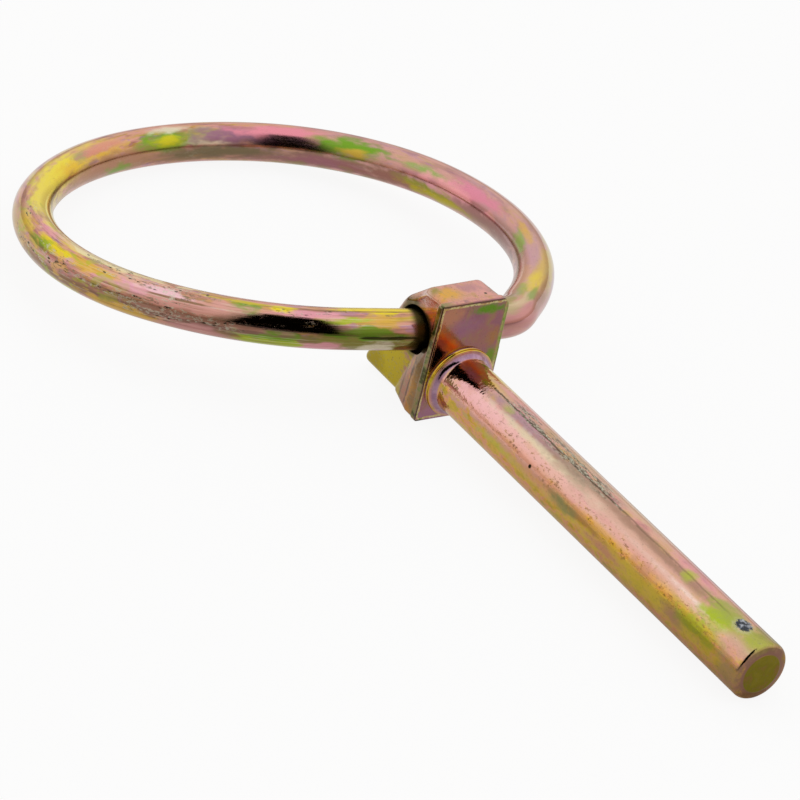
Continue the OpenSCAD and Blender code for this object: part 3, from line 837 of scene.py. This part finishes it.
# Painted shade: the groove is coloured dark only on the flange's left side and top
groove_and_shade = plating.product(flange_only, left_or_top, plating.between(edge_way, -0.19, -0.05, 0.05))
colour = plating.coat(plating.product(lip, plating.step(ragged, 0.35, 0.6, 1.0, 0.8)), colour, ragged,
                      (0.38, "a8a85a"), (0.47, "eadfa2"), (0.6, "d0b062"))
colour = plating.coat(plating.product(groove_and_shade, plating.step(across, -2.5, -3.5, 0.7, 0.95)), colour, ragged,
                      (0.42, "28300f"), (0.58, "54562c"))
trimmed = plating.product(plating.between(along, -0.62, -0.04, 0.05), plating.step(edge_way, -0.14, -0.04),
                          plating.step(across, -2.2, -3.4))
colour = plating.coat(plating.product(trimmed, 0.85), colour, ragged, (0.4, "4a5230"), (0.5, "7d8a52"),
                      (0.6, "a08a60"))
right_edge = plating.product(flange_only, plating.step(across, 3.4, 3.75), plating.step(height, 1.0, 2.5))
colour = plating.coat(plating.product(right_edge, 0.85), colour, ragged, (0.4, "7a9a34"), (0.52, "98a24e"),
                      (0.62, "a8866a"))
rim = plating.product(plating.step(off_axis, COLLAR_R - 0.2, COLLAR_R - 0.05),
                      plating.between(along, 0.08, 0.44, 0.04))
colour = plating.coat(rim, colour, ragged, (0.4, "dca63a"), (0.6, "d9c23e"))
sweep = plating.product(plating.between(along, 0.5, 1.25, 0.08), plating.step(off_axis, 3.02, 3.1))
colour = plating.coat(sweep, colour, ragged, (0.4, "a57f98"), (0.6, "bd98b0"))
print("lip drawn", LIP_OUT, "to", LIP_IN, "mm inside the flange's edge")

# %% [markdown]
# A dark line shows where the dies met, with bruises beside it from the trimming tool.
# Pits and scuffs lie over all. The bare spot is where the pin hung on its hook.

# %% Die line, bruises, pits, hook spot and painted shade in the hinge hole
lines = plating.noise(plating.scaled(place, (0.25, 2, 2)), 1.6, 4.0, 0.65)
line_way = plating.sum_of("ADD", round_by, plating.step(ragged, 0.3, 0.7, -1.5, 1.5))
die_line = plating.product(plating.between(line_way, 7, 11, 1.5), plating.between(along, 5.5, 44, 1.5),
                           plating.step(along, 24, 32, 0.95, 0.4))
colour = plating.blend(die_line, colour, "5d4c38")
beside = plating.product(plating.between(round_by, -12, 16, 8), plating.between(along, 9, 26, 2))
worn = plating.sum_of("MAXIMUM", plating.product(beside, 0.9), plating.step(along, -1, 0.5, 0.45, 0.2))
bruise = plating.product(beside, plating.step(lines, 0.47, 0.54), 0.9)
colour = plating.coat(bruise, colour, fine, (0.42, "4f4c3c"), (0.5, "8f8a78"), (0.58, "cfd0bb"))
chips = plating.product(plating.between(round_by, 1, 12, 3), plating.between(along, 8, 26, 3),
                        plating.step(fine, 0.54, 0.58))
colour = plating.coat(plating.product(chips, 0.8), colour, lines, (0.44, "45433a"), (0.5, "d3d5c0"))
scuffs = plating.product(plating.step(worn, 0, 1, 0.2, 1.0), plating.step(fine, 0.56, 0.61))
colour = plating.blend(plating.product(scuffs, 0.65), colour, SMOKE)
pits = plating.product(plating.step(plating.cells(place, 2.2), 0.24, 0.12), plating.step(fine, 0.47, 0.56),
                       plating.step(worn, 0, 1, 0.1, 1.0))
colour = plating.blend(plating.product(pits, 0.85), colour, SOOT)
flecks = plating.product(plating.between(round_by, 44, 74, 9), plating.between(along, 8, 46, 5),
                         plating.step(fine, 0.52, 0.58), plating.step(ragged, 0.46, 0.54, 0.1, 1.0))
colour = plating.coat(plating.product(flecks, 0.65), colour, lines, (0.45, "6f4d33"), (0.55, "b98a45"))
for centre, size in ((on_shank(16.2, 70), 0.2), ((-1.4, 1.9, 8.9), 0.15)):
    colour = plating.blend(plating.spot(place, centre, (size,) * 3, 0.3, 0.0), colour, SOOT)
hook_rim = plating.spot(place, on_shank(46.5, 8), (1.15, 0.85, 0.85), 0.3,
                        plating.step(fine, 0.3, 0.7, -0.2, 0.2))
colour = plating.blend(plating.product(hook_rim, 0.6), colour, "c4bf94")
hook = plating.spot(place, on_shank(46.4, 5), (0.9, 0.72, 0.72), 0.12,
                    plating.step(fine, 0.3, 0.7, -0.25, 0.25))
bare = plating.noise(place, 1.6, 3.0, 0.6)
colour = plating.coat(hook, colour, bare, (0.44, "3c4046"), (0.5, "7d828c"), (0.6, "b4b9be"))
# Painted shade: the hinge hole's bore is coloured near black, and a ring round its mouth dark olive, where the
# hole lies in shadow; the bore is also rougher.
HINGE_BACK, HINGE_UP, BORE_R = 4.15, 3.9, 2.4
hole_way = plating.reach(plating.sum_of("ADD", along, HINGE_BACK),
                         plating.sum_of("SUBTRACT", height, HINGE_UP))
bore_dull_and_shaded = plating.step(hole_way, BORE_R + 0.15, BORE_R + 0.02)
hole_rim_shade = plating.product(plating.step(hole_way, BORE_R + 0.75, BORE_R + 0.2),
                           plating.step(ragged, 0.3, 0.6, 0.9, 0.4))
colour = plating.blend(bore_dull_and_shaded, plating.blend(hole_rim_shade, colour, "6b6648"), "332d16")
print("pin colour nodes", len(plating.nodes))

# %% [markdown]
# Near the collar the shank's skin is like orange peel, because the hot bar was only
# roughly sized there. Farther out it is smoother, with marks along its length.

# %% The pin's polish and relief
peel = plating.sum_of("MULTIPLY", plating.noise(place, 2.6, 1.5, 0.5), 1.4)
peel_share = plating.product(plating.step(along, 4, 18, 1.0, 0.1), plating.step(along, 0.2, 1.5, 0.2, 1.0))
drawn = plating.noise(plating.scaled(place, (0.1, 2, 2)), 2.0, 3.0, 0.6)
relief = plating.sum_of("MULTIPLY_ADD", fine, 0.25, plating.sum_of("MULTIPLY", peel, peel_share))
for layer, share in ((drawn, plating.step(along, 0.3, 6, 0.0, 0.5)),
                     (bruise, plating.step(fine, 0.3, 0.7, -1.5, 1.5)), (pits, -0.6),
                     (plating.sum_of("MAXIMUM", groove_and_shade, die_line), -1.0), (lip, 0.8), (hook, -1.0),
                     (faced, 1.5)):
    relief = plating.sum_of("MULTIPLY_ADD", layer, share, relief)
rough = plating.sum_of("MULTIPLY", plating.step(ground, 0.3, 0.7, 0.06, 0.15),
                       plating.step(along, 6, 16, 0.6, 1.0))
for layer, share in ((plating.product(scuffs, 0.25), 1.0), (hook, 0.15), (bore_dull_and_shaded, 0.4)):
    rough = plating.sum_of("MULTIPLY_ADD", layer, share, rough)
metal(plating, colour, rough, relief, 0.02)
pin.data.materials.clear()
pin.data.materials.append(pin_steel)
print("pin finish nodes", len(plating.nodes))

# %% [markdown]
# ## Floor, light and camera
# Polished metal is mostly a picture of its surroundings. The room is a white light tent,
# with one dark gap on the near side where one looks in: that gap gives the black glints
# that make rounded metal read as metal.

# %% The light tent
# The gap's bearing and half its width, in degrees, and the way towards it
GAP_BEARING, GAP_HALF = -30, 20
GAP_WAY = (0.87, -0.5)
GAP_BLACK = "040403"
world = bpy.data.worlds.new("light_tent")
bpy.context.scene.world = world
world.use_nodes = True
tent = Wiring(world.node_tree)
x, y, z = tent.split(tent.nodes.new("ShaderNodeTexCoord").outputs["Generated"])
rise = tent.sum_of("MULTIPLY", tent.sum_of("ARCSINE", z), DEGREES)
off_gap = tent.sum_of("ABSOLUTE", tent.sum_of("SUBTRACT", tent.round_by(y, x), GAP_BEARING))
# The gap is a little wider towards its top
aside = tent.sum_of("SUBTRACT", off_gap, tent.step(rise, 50, 82, 0, 5))
dark_gap = tent.product(tent.step(aside, GAP_HALF + 1, GAP_HALF - 1), tent.step(rise, 82, 76))
halo = tent.product(tent.step(aside, 32, 17), tent.step(rise, -50, -20), tent.step(rise, 88, 70))
near_side = tent.product(tent.step(aside, 100, 30), tent.step(rise, 75, 10))
walls = tent.strip(tent.step(rise, 0, 60), [(0.0, "d2c4b4"), (0.12, "f4eee8"), (1.0, "ffffff")])
light = tent.blend(tent.product(near_side, 0.4), walls, "a08c80")
light = tent.blend(tent.product(halo, 0.8), light, "585a3c")
light = tent.blend(dark_gap, light, GAP_BLACK)
seen = tent.nodes.new("ShaderNodeLightPath").outputs["Is Camera Ray"]
light = tent.blend(seen, light, (1, 1, 1, 1))
back = tent.nodes.new("ShaderNodeBackground")
tent.wire(light, back.inputs["Color"])
back.inputs["Strength"].default_value = 1.0
tent_out = tent.nodes.new("ShaderNodeOutputWorld")
tent.wire(back.outputs[0], tent_out.inputs["Surface"])
print("world:", world.name)

# %% [markdown]
# The floor is white paper. It answers the camera with nearly pure white, and keeps a
# faint shadow under the pin. In the metal it shows darker on the near side, where the
# dark gap's own shade falls.

# %% The floor
clear_bench()
bpy.ops.mesh.primitive_plane_add(size=6.0, location=(0, 0, cad_box[0][2]))
floor = name_it("floor")
set_in_place(floor, Matrix.Identity(4))
floor_paper, sheet = new_finish("floor_paper")
ray = sheet.nodes.new("ShaderNodeLightPath")
in_metal = ray.outputs["Is Glossy Ray"]
px, py, _ = sheet.split(sheet.nodes.new("ShaderNodeTexCoord").outputs["Object"])
toward = sheet.sum_of("MULTIPLY_ADD", px, GAP_WAY[0], sheet.sum_of("MULTIPLY", py, GAP_WAY[1]))
shade = sheet.product(sheet.step(toward, -0.04, 0.05, 0.1, 0.85), in_metal)
off_gap = sheet.sum_of("ABSOLUTE", sheet.sum_of("SUBTRACT", sheet.round_by(py, px), GAP_BEARING))
gap_shade = sheet.product(sheet.step(off_gap, GAP_HALF + 1, GAP_HALF - 2),
                          sheet.step(toward, 0.05, 0.07), in_metal)
shown = sheet.blend(gap_shade, sheet.blend(shade, (1, 1, 1, 1), "6e5c4c"), GAP_BLACK)
lit = sheet.nodes.new("ShaderNodeBsdfDiffuse")
lit.inputs["Color"].default_value = (0.9, 0.9, 0.9, 1)
glow = sheet.nodes.new("ShaderNodeEmission")
sheet.wire(shown, glow.inputs["Color"])
paper = sheet.nodes.new("ShaderNodeMixShader")
share = sheet.sum_of("MULTIPLY_ADD", in_metal, 0.75,
                     sheet.sum_of("MULTIPLY", ray.outputs["Is Camera Ray"], 0.9))
for value, socket in zip((share, lit.outputs[0], glow.outputs[0]), paper.inputs):
    sheet.wire(value, socket)
paper_out = sheet.nodes.new("ShaderNodeOutputMaterial")
sheet.wire(paper.outputs[0], paper_out.inputs["Surface"])
floor.data.materials.append(floor_paper)
print("floor at", round(cad_box[0][2] / MM, 3), "mm")

# %% [markdown]
# ## The camera
# It looks down along the shank from the tip's side, from far off and through a long lens,
# so that the shank hardly narrows. It is rolled a little, which lets the pin lie slantwise.

# %% Camera
view_aim = Vector((0.27, -7.83, 0.0)) * MM
VIEW_AZIMUTH, VIEW_RISE, VIEW_ROLL = -39.676, 29.479, 12.710
VIEW_DISTANCE = 435.45 * MM
LENS, SENSOR = 204.82, 36.0
camera = bpy.data.objects.new("camera", bpy.data.cameras.new("camera"))
bpy.context.scene.collection.objects.link(camera)
az, el = math.radians(VIEW_AZIMUTH), math.radians(VIEW_RISE)
back = Vector((math.cos(az) * math.cos(el), math.sin(az) * math.cos(el), math.sin(el)))
camera.matrix_world = (Matrix.Translation(view_aim + back * VIEW_DISTANCE)
                       @ back.to_track_quat("Z", "Y").to_matrix().to_4x4()
                       @ Matrix.Rotation(math.radians(VIEW_ROLL), 4, "Z"))
camera.data.sensor_width = SENSOR
camera.data.lens = LENS
camera.data.clip_start = 0.01
camera.data.clip_end = 10.0
bpy.context.scene.camera = camera
print("camera", round(VIEW_DISTANCE / MM), "mm away")

# %% [markdown]
# ## View settings

# %% View settings
bpy.context.scene.view_settings.view_transform = "Standard"
